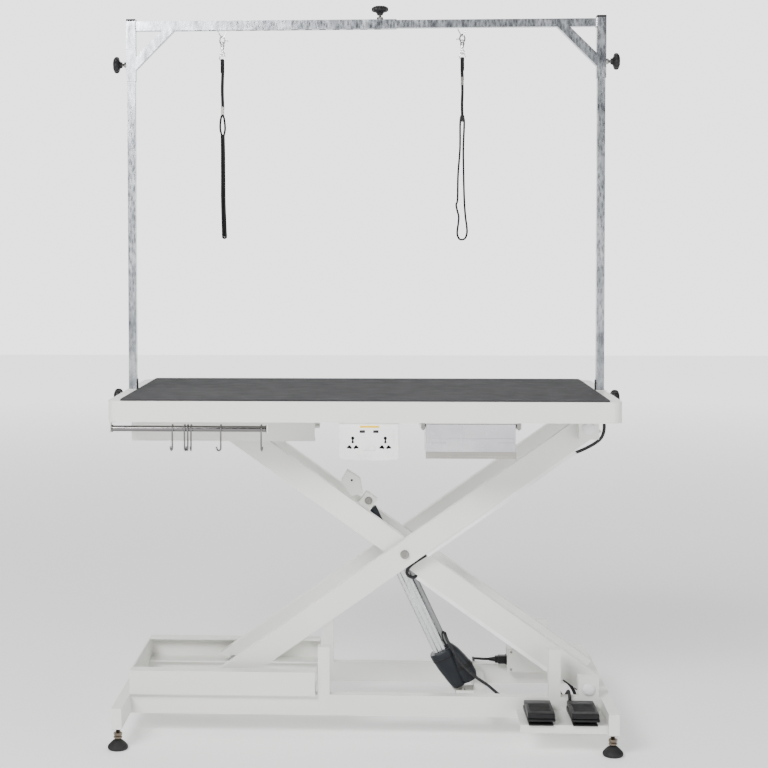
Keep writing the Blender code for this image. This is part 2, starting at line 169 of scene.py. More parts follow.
def turned_mesh(bm, profile, centre, axis, sides=32, lobes=0, depth=0.0):
    """A solid of revolution, (along, radius) pairs; lobes waves in its rim make a fluted grip."""
    turn = Vector(axis).normalized().to_track_quat("Z", "Y").to_matrix()
    widest = max(radius for _, radius in profile)
    rings = []
    for along, radius in profile:
        ring = []
        for k in range(sides):
            a = 2 * math.pi * k / sides
            wave = depth * (radius / widest) ** 2 * (0.5 - 0.5 * math.cos(lobes * a)) if lobes else 0.0
            spoke = Vector(((radius - wave) * math.cos(a), (radius - wave) * math.sin(a), along))
            ring.append(bm.verts.new(Vector(centre) + turn @ spoke))
        rings.append(ring)
    return skin(bm, rings)


def turned(name, profile, centre, axis, mat, body, sides=32, lobes=0, depth=0.0, sharp=35):
    bm = turned_mesh(bmesh.new(), profile, centre, axis, sides, lobes, depth)
    return place_mesh(name, bm, mat, body, True, sharp)


def dome(start, radius, height, steps=5):
    """Profile pairs for a rounded cap that starts at a distance along the axis."""
    angles = [math.pi / 2 * k / steps for k in range(steps + 1)]
    return [(start + height * math.sin(a), max(0.4, radius * math.cos(a))) for a in angles]


def thread(start, pitch, count, crest, root):
    """Profile pairs for a screw thread, as rings side by side."""
    pairs = []
    for k in range(count):
        pairs += [(start + pitch * k, crest), (start + pitch * (k + 0.5), root)]
    return pairs


def smooth_path(points, steps=4):
    """A Catmull-Rom curve through the points, in so many steps between each two."""
    points = [Vector(p) for p in points]
    full = [2 * points[0] - points[1], *points, 2 * points[-1] - points[-2]]
    out = []
    for a, b, c, d in zip(full, full[1:], full[2:], full[3:]):
        for k in range(steps):
            t = k / steps
            square, cube = 2 * a - 5 * b + 4 * c - d, 3 * b - a - 3 * c + d
            out.append(0.5 * ((2 * b) + (c - a) * t + square * t**2 + cube * t**3))
    out.append(points[-1])
    return out


def swept_mesh(bm, path, section, side, closed=False, widths=None):
    """A section carried along a path; widths scales it at each point."""
    path = [Vector(p) for p in path]
    side = Vector(side).normalized()
    count = len(path)
    rings = []
    for i, at in enumerate(path):
        before = path[(i - 1) % count] if closed or i else at
        after = path[(i + 1) % count] if closed or i < count - 1 else at
        along = (after - before).normalized()
        across = along.cross(side).normalized()
        up = across.cross(along).normalized()
        wide = widths[i] if widths else 1.0
        rings.append([bm.verts.new(at + (across * u + up * v) * wide) for u, v in section])
    return skin(bm, rings, closed)


def circle(radius, sides=12):
    angles = [2 * math.pi * k / sides for k in range(sides)]
    return [(radius * math.cos(a), radius * math.sin(a)) for a in angles]


def oblong(half_wide, half_high):
    return [(-half_wide, -half_high), (half_wide, -half_high), (half_wide, half_high), (-half_wide, half_high)]


def swept(name, path, section, side, mat, body, closed=False):
    return place_mesh(name, swept_mesh(bmesh.new(), path, section, side, closed), mat, body, True, 50)


# ---- materials ----


def shader(name, colour, roughness, metallic=0.0, specular=0.5, coat=0.0):
    mat = bpy.data.materials.new(name)
    mat.use_nodes = True
    tree = mat.node_tree
    out = tree.nodes["Principled BSDF"]
    out.inputs["Base Color"].default_value = (*colour, 1.0)
    out.inputs["Roughness"].default_value = roughness
    out.inputs["Metallic"].default_value = metallic
    out.inputs["Specular IOR Level"].default_value = specular
    out.inputs["Coat Weight"].default_value = coat
    return mat, tree, out


def coordinates(tree, scale=(1.0, 1.0, 1.0)):
    place = tree.nodes.new("ShaderNodeTexCoord")
    stretch = tree.nodes.new("ShaderNodeMapping")
    stretch.inputs["Scale"].default_value = scale
    tree.links.new(place.outputs["Object"], stretch.inputs["Vector"])
    return stretch.outputs["Vector"]


def noise(tree, vector, scale, detail=4.0, roughness=0.55):
    made = tree.nodes.new("ShaderNodeTexNoise")
    made.inputs["Scale"].default_value = scale
    made.inputs["Detail"].default_value = detail
    made.inputs["Roughness"].default_value = roughness
    tree.links.new(vector, made.inputs["Vector"])
    return made.outputs["Fac"]


def ramp(tree, value, low, high, dark, light):
    """A colour or grey that goes from dark to light as the value goes from low to high."""
    made = tree.nodes.new("ShaderNodeValToRGB")
    made.color_ramp.elements[0].position = low
    made.color_ramp.elements[1].position = high
    made.color_ramp.elements[0].color = (*dark, 1.0)
    made.color_ramp.elements[1].color = (*light, 1.0)
    tree.links.new(value, made.inputs["Fac"])
    return made.outputs["Color"]


def drive(tree, out, socket, value, low, high, dark, light):
    """A socket goes from dark to light as the value goes from low to high."""
    tree.links.new(ramp(tree, value, low, high, dark, light), out.inputs[socket])


def cells(tree, vector, scale):
    made = tree.nodes.new("ShaderNodeTexVoronoi")
    made.inputs["Scale"].default_value = scale
    tree.links.new(vector, made.inputs["Vector"])
    return made.outputs["Distance"]


def bump(tree, out, height, strength, distance):
    made = tree.nodes.new("ShaderNodeBump")
    made.inputs["Strength"].default_value = strength
    made.inputs["Distance"].default_value = distance
    tree.links.new(height, made.inputs["Height"])
    tree.links.new(made.outputs["Normal"], out.inputs["Normal"])


def grey(v):
    return (v, v, v)


def painted_steel(name="white_powder_coat", tone=(0.80, 0.80, 0.765)):
    """Powder coat: fine orange peel, a little unevenness in tone and gloss."""
    mat, tree, out = shader(name, tone, 0.42, 0.0, 0.5, 0.08)
    at = coordinates(tree)
    soft = tuple(c * 0.955 for c in tone)
    drive(tree, out, "Base Color", noise(tree, at, 6.0, 5.0), 0.3, 0.7, soft, tone)
    drive(tree, out, "Roughness", noise(tree, at, 35.0), 0.3, 0.7, grey(0.36), grey(0.5))
    bump(tree, out, noise(tree, at, 420.0, 2.0), 0.12, 0.0006)
    return mat


def bare_tube():
    """Galvanised tube: soft streaks along it, faint spangle, cloudy gloss."""
    mat, tree, out = shader("galvanised_tube", (0.6, 0.61, 0.62), 0.3, 1.0)
    at = coordinates(tree, (1.0, 1.0, 0.35))
    cloud = noise(tree, at, 46.0, 8.0, 0.62)
    drive(tree, out, "Base Color", cloud, 0.30, 0.72, (0.15, 0.16, 0.18), (0.66, 0.69, 0.73))
    drive(tree, out, "Roughness", cells(tree, at, 170.0), 0.1, 0.8, grey(0.2), grey(0.36))
    bump(tree, out, noise(tree, at, 90.0, 6.0), 0.15, 0.0008)
    return mat


def bright(name="bright_steel", tone=(0.78, 0.78, 0.79), rough=0.14):
    """Polished or drawn metal with a faint variation in gloss."""
    mat, tree, out = shader(name, tone, rough, 1.0)
    low, high = grey(max(0.04, rough - 0.06)), grey(rough + 0.1)
    drive(tree, out, "Roughness", noise(tree, coordinates(tree), 160.0), 0.35, 0.7, low, high)
    return mat


def zinc(name="zinc_plate", tone=(0.36, 0.35, 0.33)):
    """Plated fasteners: a dull, slightly blotchy metal."""
    mat, tree, out = shader(name, tone, 0.34, 1.0)
    at = coordinates(tree)
    dull = tuple(c * 0.72 for c in tone)
    drive(tree, out, "Base Color", noise(tree, at, 120.0, 6.0), 0.3, 0.7, dull, tone)
    bump(tree, out, noise(tree, at, 600.0, 2.0), 0.1, 0.0003)
    return mat


def rubber_mat():
    """The top: a fine pebbled rubber with a cloudy tone and faint scuffs."""
    mat, tree, out = shader("mat_rubber", (0.052, 0.052, 0.055), 0.8, 0.0, 0.1)
    at = coordinates(tree)
    dark, light = (0.046, 0.046, 0.049), (0.060, 0.060, 0.063)
    drive(tree, out, "Base Color", noise(tree, at, 3.5, 6.0), 0.3, 0.7, dark, light)
    drive(tree, out, "Roughness", noise(tree, at, 22.0, 6.0), 0.3, 0.7, grey(0.72), grey(0.88))
    bump(tree, out, cells(tree, at, 520.0), 0.45, 0.0006)
    return mat


def moulded(name, tone, rough, grain=700.0, strength=0.14, specular=0.2):
    """Moulded plastic or rubber with a fine grain."""
    mat, tree, out = shader(name, tone, rough, 0.0, specular)
    at = coordinates(tree)
    light = tuple(min(1.0, c * 1.25 + 0.003) for c in tone)
    drive(tree, out, "Base Color", noise(tree, at, 14.0, 5.0), 0.3, 0.75, tone, light)
    low, high = grey(max(0.05, rough - 0.07)), grey(min(1.0, rough + 0.08))
    drive(tree, out, "Roughness", noise(tree, at, 60.0), 0.3, 0.7, low, high)
    bump(tree, out, noise(tree, at, grain, 2.0), strength, 0.0004)
    return mat


def webbing():
    """Woven polyester tape: ribs across, a fine weave, a soft sheen."""
    mat, tree, out = shader("black_webbing", (0.012, 0.012, 0.013), 0.85, 0.0, 0.12)
    out.inputs["Sheen Weight"].default_value = 0.06
    rib = tree.nodes.new("ShaderNodeTexWave")
    rib.bands_direction = "Z"
    rib.inputs["Scale"].default_value = 260.0
    rib.inputs["Distortion"].default_value = 1.2
    tree.links.new(coordinates(tree), rib.inputs["Vector"])
    wave = rib.outputs["Fac"]
    drive(tree, out, "Base Color", wave, 0.1, 0.9, (0.006, 0.006, 0.007), (0.020, 0.020, 0.021))
    bump(tree, out, wave, 0.6, 0.0006)
    return mat


def braided():
    """A braided black sleeve over the cables."""
    mat, tree, out = shader("braided_sleeve", (0.012, 0.012, 0.013), 0.7, 0.0, 0.15)
    cell = cells(tree, coordinates(tree), 480.0)
    drive(tree, out, "Base Color", cell, 0.1, 0.7, (0.008, 0.008, 0.009), (0.045, 0.045, 0.048))
    bump(tree, out, cell, 0.7, 0.0008)
    return mat


def cloudy_plastic():
    """The drawer's cloudy clear plastic."""
    mat, tree, out = shader("cloudy_plastic", (0.62, 0.62, 0.655), 0.22, 0.0, 0.5, 0.25)
    at = coordinates(tree)
    dark, light = (0.52, 0.52, 0.56), (0.68, 0.68, 0.71)
    drive(tree, out, "Base Color", noise(tree, at, 9.0, 4.0), 0.3, 0.7, dark, light)
    drive(tree, out, "Roughness", noise(tree, at, 40.0), 0.3, 0.7, grey(0.14), grey(0.32))
    out.inputs["Transmission Weight"].default_value = 0.22
    bump(tree, out, noise(tree, at, 24.0, 2.0), 0.1, 0.001)
    return mat


WHITE = painted_steel()
TUBE = bare_tube()
BRIGHT = bright()
DARK_CHROME = bright("rail_chrome", (0.17, 0.165, 0.165), 0.12)
ZINC = zinc()
STUD = zinc("brown_zinc", (0.22, 0.18, 0.14))
SILVER = bright("drawn_aluminium", (0.56, 0.57, 0.58), 0.24)
MAT = rubber_mat()
BLACK = moulded("black_moulding", (0.011, 0.011, 0.012), 0.42)
RUBBER = moulded("black_rubber", (0.013, 0.013, 0.013), 0.68, 500.0, 0.2, 0.35)
MOTOR = moulded("motor_moulding", (0.014, 0.016, 0.020), 0.36, 620.0, 0.12)
CABLE = moulded("cable_sheath", (0.010, 0.010, 0.011), 0.45, 400.0, 0.06)
GREY_BAND = moulded("pedal_grey_band", (0.045, 0.045, 0.047), 0.5)
LIP = moulded("drawer_lip_plastic", (0.30, 0.285, 0.265), 0.35)
DULL = bright("dull_aluminium", (0.25, 0.255, 0.26), 0.34)
PANEL = moulded("white_plastic", (0.80, 0.80, 0.79), 0.3, 800.0, 0.05, 0.5)
DUCT = moulded("duct_plastic", (0.83, 0.83, 0.81), 0.36, 700.0, 0.05, 0.5)
CAP = moulded("domed_cap", (0.70, 0.70, 0.72), 0.25, 500.0, 0.04, 0.55)
# Near black that paints the shade inside holes, slots, vents and sockets, which are not cut.
HOLE_SHADE = moulded("socket_hole", (0.004, 0.004, 0.004), 0.7)
YELLOW = moulded("plain_yellow_strip", (0.78, 0.50, 0.0), 0.4)
WEB = webbing()
BRAID = braided()
CLEAR = cloudy_plastic()


# ---- stage ----


def camera():
    data = bpy.data.cameras.new("camera")
    data.lens, data.sensor_width = 75.6, 36.0
    data.shift_x, data.shift_y = 0.1056, -0.1074
    made = add_object("camera", data)
    yaw, pitch, roll = math.radians(2.90), math.radians(2.0), math.radians(-0.11)
    turn = (
        Matrix.Rotation(yaw, 4, "Z")
        @ Matrix.Rotation(math.pi / 2 - pitch, 4, "X")
        @ Matrix.Rotation(roll, 4, "Z")
    )
    made.matrix_world = Matrix.Translation((0.0517, -4.2152, 1.2447)) @ turn
    bpy.context.scene.camera = made


def area_light(name, place, target, size, power):
    data = bpy.data.lights.new(name, "AREA")
    data.shape = "RECTANGLE"
    data.size, data.size_y = size
    data.energy = power
    made = add_object(name, data)
    made.location = place
    made.rotation_euler = (Vector(target) - Vector(place)).to_track_quat("-Z", "Y").to_euler()


def backdrop():
    """A pale world that is brightest behind the table, towards +Y."""
    world = bpy.data.worlds.new("studio")
    world.use_nodes = True
    tree = world.node_tree
    place = tree.nodes.new("ShaderNodeTexCoord")
    parts = tree.nodes.new("ShaderNodeSeparateXYZ")
    tree.links.new(place.outputs["Generated"], parts.inputs["Vector"])
    drive(tree, tree.nodes["Background"], "Color", parts.outputs["Y"], 0.72, 0.90, grey(ROOM_LIGHT),
          grey(BACKDROP_LIGHT))
    tree.nodes["Background"].inputs["Strength"].default_value = 1.0
    bpy.context.scene.world = world


def floor():
    """A matt floor that glows a little more with distance, so that it fades into the backdrop."""
    mat, tree, out = shader("floor", grey(0.93), 0.9, 0.0, 0.1)
    drive(tree, out, "Base Color", noise(tree, coordinates(tree), 1.2), 0.3, 0.7, grey(0.92), grey(0.94))
    reach = tree.nodes.new("ShaderNodeVectorMath")
    reach.operation = "LENGTH"
    tree.links.new(coordinates(tree, (0.1, 0.1, 0.1)), reach.inputs[0])
    near, far = FLOOR_GLOW
    drive(tree, out, "Emission Color", reach.outputs["Value"], 0.1, 0.9, grey(near), grey(far))
    out.inputs["Emission Strength"].default_value = 1.0
    bm = bmesh.new()
    bmesh.ops.create_grid(bm, x_segments=1, y_segments=1, size=FLOOR_HALF)
    made = place_mesh("floor", bm, mat, None, False)


def studio():
    backdrop()
    area_light("key", (-1.7, -3.3, 2.9), (0, 0, 0.8), (1.8, 1.4), 215)
    area_light("fill", (2.4, -3.2, 1.3), (0, 0, 0.6), (1.4, 1.8), 46)
    area_light("top", (0.2, 0.4, 3.7), (0, 0, 0.8), (2.4, 1.8), 34)
    floor()


# ---- CAD nodes that stay ----


def dress(names, mat, soft=0.0, segments=2):
    for name in names:
        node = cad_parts[name]
        node.data.materials.clear()
        node.data.materials.append(mat)
        if soft:
            soften(node, soft, segments)


def dress_cad():
    dress(("foot_bar_left", "foot_bar_right", "rail_front", "rail_rear"), WHITE, 2.2, 3)
    dress(("leg_a_front", "leg_a_rear", "leg_b_front", "leg_b_rear"), WHITE, 3.0, 3)
    dress(("roller_track", "pedal_shelf", "actuator_bracket", "lift_cross_tube"), WHITE, 0.8)
    dress(("guide_front", "guide_rear", "drawer_hanger"), WHITE, 0.8)
    dress(("control_box",), WHITE, 1.6, 3)
    dress(("table_frame",), WHITE, 2.0, 3)
    dress(("duct_a", "duct_b"), DUCT, 1.0)
    dress(("table_mat",), MAT, 0.8)
    dress(("post_left", "post_right", "arm_outer", "arm_inner"), TUBE, 1.2)
    dress(("rollers_lower", "rollers_upper"), ZINC, 0.8)
    dress(("shaft_lower", "shaft_upper"), ZINC)
    dress(("actuator_rod",), MOTOR)


# ---- clamp knobs ----


def clamp_knob(name, node, centre, axis, body):
    """A fluted knob on a threaded stem, standing KNOB_REACH off a tube."""
    back = KNOB_REACH - KNOB_THICK
    rim = ((0, 0.55), (1.6, 0.86), (4.2, 0.975), (8, 1), (12, 0.95), (14.6, 0.82), (16.2, 0.6), (16.6, 0.44),
           (15.4, 0.4))
    profile = [(back - 7, 7.5), (back - 3, 8.5)]
    profile += [(back + along, KNOB_RADIUS * share) for along, share in rim]
    profile.append((KNOB_REACH - 1.7, 0.5))
    made = turned(name, profile, centre, axis, BLACK, body, 96, KNOB_LOBES, 2.2, 50)
    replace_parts(made, node)
    stem = [(0, 3.0), *thread(0.4, 0.9, 13, 4.0, 3.45), (back - 6.5, 3.6)]
    turned(f"{name}_stem", stem, centre, axis, ZINC, body, 20)


def weld_nut(name, centre, axis, radius=8.2, height=7.0):
    """A hexagonal nut welded to a tube of the arm, with its rounded top edge."""
    nut = ((0, radius), (height - 1.4, radius), (height, radius * 0.84), (height, 4.2))
    turned(name, nut, centre, axis, ZINC, "arm", 6, sharp=20)
    bead = [(0, radius + 1.2), (0.8, radius + 1.0), (1.6, radius - 0.5), (1.7, 3)]
    turned(f"{name}_weld", bead, centre, axis, SILVER, "arm", 28)


def table_knob(tag, side):
    """The larger knob on the table's end, its head close against the frame."""
    profile = [(0.4, 11), (3, 12.5), (7, 13), (12, 17), (15, 22.5), (18, 25), (23, 26), (28, 25.6),
               (32, 23.5), (34.6, 19), (35, 14), (33.6, 12.5), (33.4, 0.5)]
    made = turned(f"end_knob_{tag}", profile, (side * TABLE_END_X, 0, TABLE_KNOB_Z), (side, 0, 0), BLACK,
                  f"table_knob_{tag}", 96, KNOB_LOBES, 2.4, 50)
    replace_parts(made, f"knob_table_{tag}")


def knobs():
    for side, tag in SIDES_X:
        place, axis = (side * SLEEVE_FACE_X, 0, SLEEVE_KNOB_Z), (side, 0, 0)
        clamp_knob(f"sleeve_knob_{tag}", f"knob_sleeve_{tag}", place, axis, f"sleeve_knob_{tag}")
        weld_nut(f"sleeve_nut_{tag}", place, axis)
        table_knob(tag, side)
    place = (ARM_KNOB_X, 0, ARM_Z1)
    clamp_knob("arm_knob", "knob_centre", place, (0, 0, 1), "centre_knob")
    weld_nut("arm_nut", place, (0, 0, 1))


# ---- arm details ----


def post_caps():
    """A black cap on each sleeve, and a shim and a collar where each post enters the table."""
    for side, tag in SIDES_X:
        x = side * POST_X
        outline = rounded((x - 12.6, x + 12.6), (-12.6, 12.6), 2.5, 4)
        prism(f"sleeve_cap_{tag}", outline, "z", 1829.5, 1835.5, BLACK, "arm", "black_plastic", 1.6, 3)
        inner = side * (POST_X - 11.0)
        block(f"post_shim_{tag}", sorted((inner, inner - side * 1.6)), (-8, 8), (866.4, 894), BLACK,
              f"{tag}_post", "black_plastic", 0.4)
        collar = rounded((x - 14, x + 14), (-14, 14), 3, 4)
        prism(f"post_collar_{tag}", collar, "z", 865.6, 867.6, WHITE, "table", "white_paint", 0.6)


def arm_slots():
    """Slots along the underside of the outer tube, clear of the leashes: black prisms painting the shade in
    them.
    """
    bm = bmesh.new()
    for x in range(-470, 60, 36):
        if all(abs(x - leash) > 22 for leash in LEASH_X):
            slot = rounded((x - 9, x + 9), (-3, 3), 2.9, 4)
            prism_mesh(bm, slot, "z", ARM_Z0 - 0.5, ARM_Z0 + 0.8)
    place_mesh("arm_slots", bm, HOLE_SHADE, "arm")


def weld_bead(name, start, end, radius, side):
    """A run of weld on the arm: a round bar whose width ripples."""
    start, end = Vector(start), Vector(end)
    steps = max(2, int((end - start).length / 1.6))
    points = [start + (end - start) * (k / steps) for k in range(steps + 1)]
    widths = [radius * (0.86 + 0.14 * math.cos(2.1 * k)) for k in range(steps + 1)]
    bm = swept_mesh(bmesh.new(), points, circle(1.0, 8), side, widths=widths)
    place_mesh(name, bm, TUBE, "arm")


def arm_welds():
    for side, tag in SIDES_X:
        x = side * 597.6
        for y, where in ((-11.8, "front"), (11.8, "rear")):
            weld_bead(f"weld_top_{tag}_{where}", (x, y, 1806.5), (x, y, 1827.5), 1.5, (0, 1, 0))
        low = ARM_Z0 + 0.2
        weld_bead(f"weld_under_{tag}", (x, -10, low), (x, 10, low), 1.7, (0, 0, 1))


# ---- leashes ----


def leash_hook(tag, x, lever_side):
    """A wire bail, a scissor snap hook with its rivet and thumb lever, a swivel eye and a D-ring."""
    body, slot = f"hook_{tag}", "bright_steel"
    top = ARM_Z0 - 2.3

    def at(points, y=0):
        return [(x + u, y, top + v) for u, v in points]

    def sweep(name, path, section, closed=False):
        return swept(f"{name}_{tag}", path, section, (0, 1, 0), BRIGHT, body, closed)

    bail = [(-12, 1.0), (-8, -7), (-3.5, -14.5), (0, -17.5), (3.5, -14.5), (8, -7), (12, 1.0)]
    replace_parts(sweep("bail", smooth_path(at(bail), 4), circle(1.5, 10)), f"leash_hook_{tag}")
    # Two jaws cross at the rivet, as scissors do: each is a curved plate.
    for k, turn in enumerate((-1, 1)):
        jaw = [(1.0, -36), (5.6, -29), (6.4, -22), (3.4, -15.5), (-1.6, -13)]
        tail = [(2, -27), (-2.2, -33), (-3.6, -38), (-1.6, -43)]
        for part, points, half, steps in (("jaw", jaw, 1.9, 4), ("tail", tail, 2.2, 3)):
            path = smooth_path(at([(turn * u, v) for u, v in points], turn * 1.6), steps)
            swept(f"{part}_{tag}_{k}", path, oblong(half, 1.2), (0, 1, 0), BRIGHT, body)
    bends = ((3, -2.4, -29), (8, -2.8, -26), (13.5, -2.8, -25.4), (15.5, -2.8, -27))
    lever = [(x + lever_side * u, y, top + v) for u, y, v in bends]
    sweep("lever", smooth_path(lever, 3), oblong(1.1, 1.6))
    rivet = ((-4.2, 1.5), (-3.6, 2.6), (-2.8, 3.0), (2.8, 3.0), (3.6, 2.6), (4.2, 1.5))
    turned(f"rivet_{tag}", rivet, (x, 0, top - 31), (0, 1, 0), BRIGHT, body, 20)
    barrel = ((0, 3.2), (1, 4.2), (6, 4.4), (7, 3.2), (8.4, 2.4), (10, 2.4), (11, 3.4), (13, 3.6), (14, 2.6))
    turned(f"swivel_{tag}", barrel, (x, 0, top - 41), (0, 0, -1), BRIGHT, body, 20)
    angles = [2 * math.pi * k / 24 for k in range(24)]
    sweep("eye", at([(5.2 * math.sin(a), 5.2 * math.cos(a) - 58.6) for a in angles]), circle(1.4, 8), True)
    # The D-ring: a round bow below, which the tape is sewn round, and the eye in its top.
    ring = []
    for k in range(28):
        a = 2 * math.pi * k / 28
        wide = 7.6 if math.cos(a) < 0 else 6.6
        ring.append((x + wide * math.sin(a), 0.4 * math.sin(2 * a), top - 69 + 8.4 * math.cos(a)))
    sweep("d_ring", ring, circle(1.5, 8), True)


def tape(name, path, width, thick, body, side=(0, 1, 0)):
    """Flat webbing along a path, its width along `side`, with rounded edges."""
    a, b = thick / 2, width / 2
    section = [(-a, -b + 0.5), (-a * 0.5, -b), (a * 0.5, -b), (a, -b + 0.5), (a, b - 0.5), (a * 0.5, b),
               (-a * 0.5, b), (-a, b - 0.5)]
    return swept(name, path, section, side, WEB, body)


def leashes():
    for tag, x, lever_side in (("left", LEASH_X[0], 1), ("right", LEASH_X[1], -1)):
        leash_hook(tag, x, lever_side)
    left_strap(LEASH_X[0])
    right_strap(LEASH_X[1])


def hanging(x, z0, z1, drift):
    """A nearly straight fall with the little waver that webbing keeps."""
    steps = max(6, int((z1 - z0) / 9))
    path = []
    for k in range(steps + 1):
        path.append(Vector((x + drift * math.sin(2.4 * math.pi * k / steps), 0, z1 - (z1 - z0) * k / steps)))
    return path


def crimp(name, x, z0, z1, body, width=8.6, ribs=5):
    """A ribbed metal crimp over the tape."""
    outline = []
    for k in range(ribs * 4 + 1):
        z = z0 + (z1 - z0) * k / (ribs * 4)
        outline.append((width / 2 - 0.9 * (1 - math.cos(2 * math.pi * k / 4)) / 2, z))
    points = [(x - w, z) for w, z in outline] + [(x + w, z) for w, z in reversed(outline)]
    prism(name, points, "y", -3.4, 3.4, ZINC, body, "bright_steel", 0.8)


def strand(name, x, points, body):
    """Folded webbing of a loop: nearly as thick as it is wide."""
    path = smooth_path([(x + u, 0.9 * math.sin(k * 1.3), z) for k, (u, z) in enumerate(points)], 6)
    tape(name, path, 7.0, 4.8, body)


def left_strap(x):
    body = "strap_left"
    top = tape("strap_left_top", hanging(x, 1600, STRAP_TOP, 0.6), 8.2, 4.0, body, (1, 0.02, 0))
    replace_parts(top, "leash_strap_left")
    block("strap_left_seam", (x - 5.0, x + 5.0), (-3.0, 3.0), (1694, 1729), WEB, body, "webbing", 1.2)
    crimp("strap_left_crimp", x, 1585, 1607, body)
    eye = [(0.6, 1588), (-4.2, 1578), (-6.2, 1562), (-6.0, 1547), (-2.6, 1533), (0, 1526), (3.2, 1533),
           (6.2, 1547), (5.8, 1562), (3.4, 1578), (-0.4, 1588)]
    strand("strap_left_eye", x, eye, body)
    block("strap_left_keeper", (x - 5.4, x + 5.4), (-4.4, 4.4), (1521, 1534), WEB, body, "webbing", 1.8, 3)
    # The noose is drawn shut: its two strands lie against each other down to the fold.
    start, end, steps = 1528, 1267, 14
    falls, down, up = [], [], []
    for i in range(steps + 1):
        t = i / steps
        u, z, half = 3.6 * t**2 + 0.5 * math.sin(7 * t), start - (start - end) * t, 3.0 + 1.1 * t
        falls.append((u, z))
        down.append((u - half, z))
        up.append((u + half, z))
    fold = [(3.6 - 3.2 * math.cos(math.pi * k / 4), end - 3.6 * math.sin(math.pi * k / 4)) for k in (1, 2, 3)]
    strand("strap_left_noose", x, [*down, *fold, *reversed(up)], body)
    # What shows between them from the front is the third fold, behind.
    path = [Vector((x + u, 2.2, z)) for u, z in falls]
    tape("strap_left_inner", path, 5.5, 3.0, body, (1, 0.02, 0))


def right_strap(x):
    body = "strap_right"
    top = tape("strap_right_top", hanging(x, 1672, STRAP_TOP, 0.6), 8.2, 4.0, body, (1, 0.02, 0))
    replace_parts(top, "leash_strap_right")
    block("strap_right_seam", (x - 5.0, x + 5.0), (-3.0, 3.0), (1696, 1729), WEB, body, "webbing", 1.2)
    crimp("strap_right_crimp", x, 1659, 1680, body)
    tape("strap_right_middle", hanging(x, 1572, 1664, 0.5), 7.0, 4.0, body, (1, 0.02, 0))
    outline = [(x - 6.2, 1564), (x + 6.2, 1564), (x + 7, 1570), (x + 5, 1581), (x - 5, 1581), (x - 7, 1570)]
    prism("strap_right_slider", outline, "y", -4.4, 4.4, BLACK, body, "black_plastic", 1.4, 3)
    down = [(-2.6, 1576), (-5.2, 1559), (-5.7, 1493), (-10.5, 1428), (-11.8, 1363), (-15.2, 1350), (-13, 1336),
            (-8.7, 1319), (-9.6, 1302), (-12.6, 1275), (-7.5, 1261)]
    up = [(0, 1258.5), (8, 1262), (12.6, 1275), (12.2, 1293), (8.7, 1319), (5.7, 1363), (3.9, 1428), (3, 1493),
          (5.2, 1559), (3.5, 1576)]
    strand("strap_right_noose", x, [*down, *up], body)


# ---- hook rail ----


def rail_and_hooks():
    tube = ((-621, 6.6), (-620.4, 7.4), (-232.6, 7.4), (-232, 6.6))
    at = (0, RAIL_Y, RAIL_Z)
    made = turned("chrome_rail", tube, at, (1, 0, 0), DARK_CHROME, "table", 32)
    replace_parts(made, "tool_rail")
    near, far = RAIL_Y - 18, RAIL_Y + 8
    ring = ((-2.4, 8.6), (-1.6, 9.2), (1.6, 9.2), (2.4, 8.6))
    for tag, x, inner, flange in (("left", (-621, -618), -616.8, (-621, -604)),
                                  ("right", (-235, -232), -236.2, (-249, -232))):
        outline = [(near, FRAME_LOW + 0.5), (near, 792), (near + 4, 787), (far - 4, 787), (far, 792),
                   (far, FRAME_LOW + 0.5)]
        prism(f"rail_plate_{tag}", outline, "x", *x, WHITE, "table", "white_paint", 0.6)
        block(f"rail_flange_{tag}", flange, (near, far), (FRAME_LOW - 2.4, FRAME_LOW), WHITE, "table",
              "white_paint", 0.5)
        turned(f"rail_ring_{tag}", ring, (inner, RAIL_Y, RAIL_Z), (1, 0, 0), DARK_CHROME, "table")
    for number, (x, swing) in enumerate(zip(HOOK_X, HOOK_SWING), 1):
        s_hook(number, x, math.radians(swing))


def s_hook(number, x, swing):
    """A bent wire hook whose top bow sits on the rail and whose foot ends in a small open bow."""
    body, slot, steps = f"s_hook_{number}", "bright_steel", 12
    bow, foot, low = 9.6, 8.2, RAIL_Z - 45
    path = []
    for step in range(steps + 1):
        t = math.radians(-25 + 205 * step / steps)
        path.append(Vector((x, RAIL_Y + bow * math.cos(t), RAIL_Z + bow * math.sin(t))))
    for step in range(steps + 1):
        t = math.radians(180 + 172 * step / steps)
        out = foot + foot * math.cos(t)
        y = RAIL_Y - bow + out * math.cos(swing)
        path.append(Vector((x - out * math.sin(swing), y, low + foot * math.sin(t))))
    wire = smooth_path(path, 2)
    made = swept(f"wire_hook_{number}", wire, circle(2.2, 10), (1, 0.01, 0), DARK_CHROME, body)
    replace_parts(made, body)
    tip = ((-1.6, 1.0), (-1.0, 2.1), (0.6, 2.4), (1.6, 1.8))
    for tag, at in (("top", path[0]), ("foot", path[-1])):
        turned(f"hook_tip_{number}_{tag}", tip, at, (0, 0.2, 1), DARK_CHROME, body, 12)


# ---- socket panel ----


def flat_shape(name, shapes, y0, y1, mat, body, soft=0.0):
    """Several outlines in (x, z) pushed from y0 to y1, as one piece."""
    bm = bmesh.new()
    for outline in shapes:
        prism_mesh(bm, outline, "y", y0, y1)
    made = place_mesh(name, bm, mat, body)
    return soften(made, soft) if soft else made


def disc(x, z, radius, steps=18):
    return [(x + u, z + v) for u, v in circle(radius, steps)]


def bar(x, z, length, width, degrees):
    """A slot's outline, turned about its centre."""
    c, s = math.cos(math.radians(degrees)), math.sin(math.radians(degrees))
    return [(x + u * c - v * s, z + u * s + v * c) for u, v in oblong(length / 2, width / 2)]


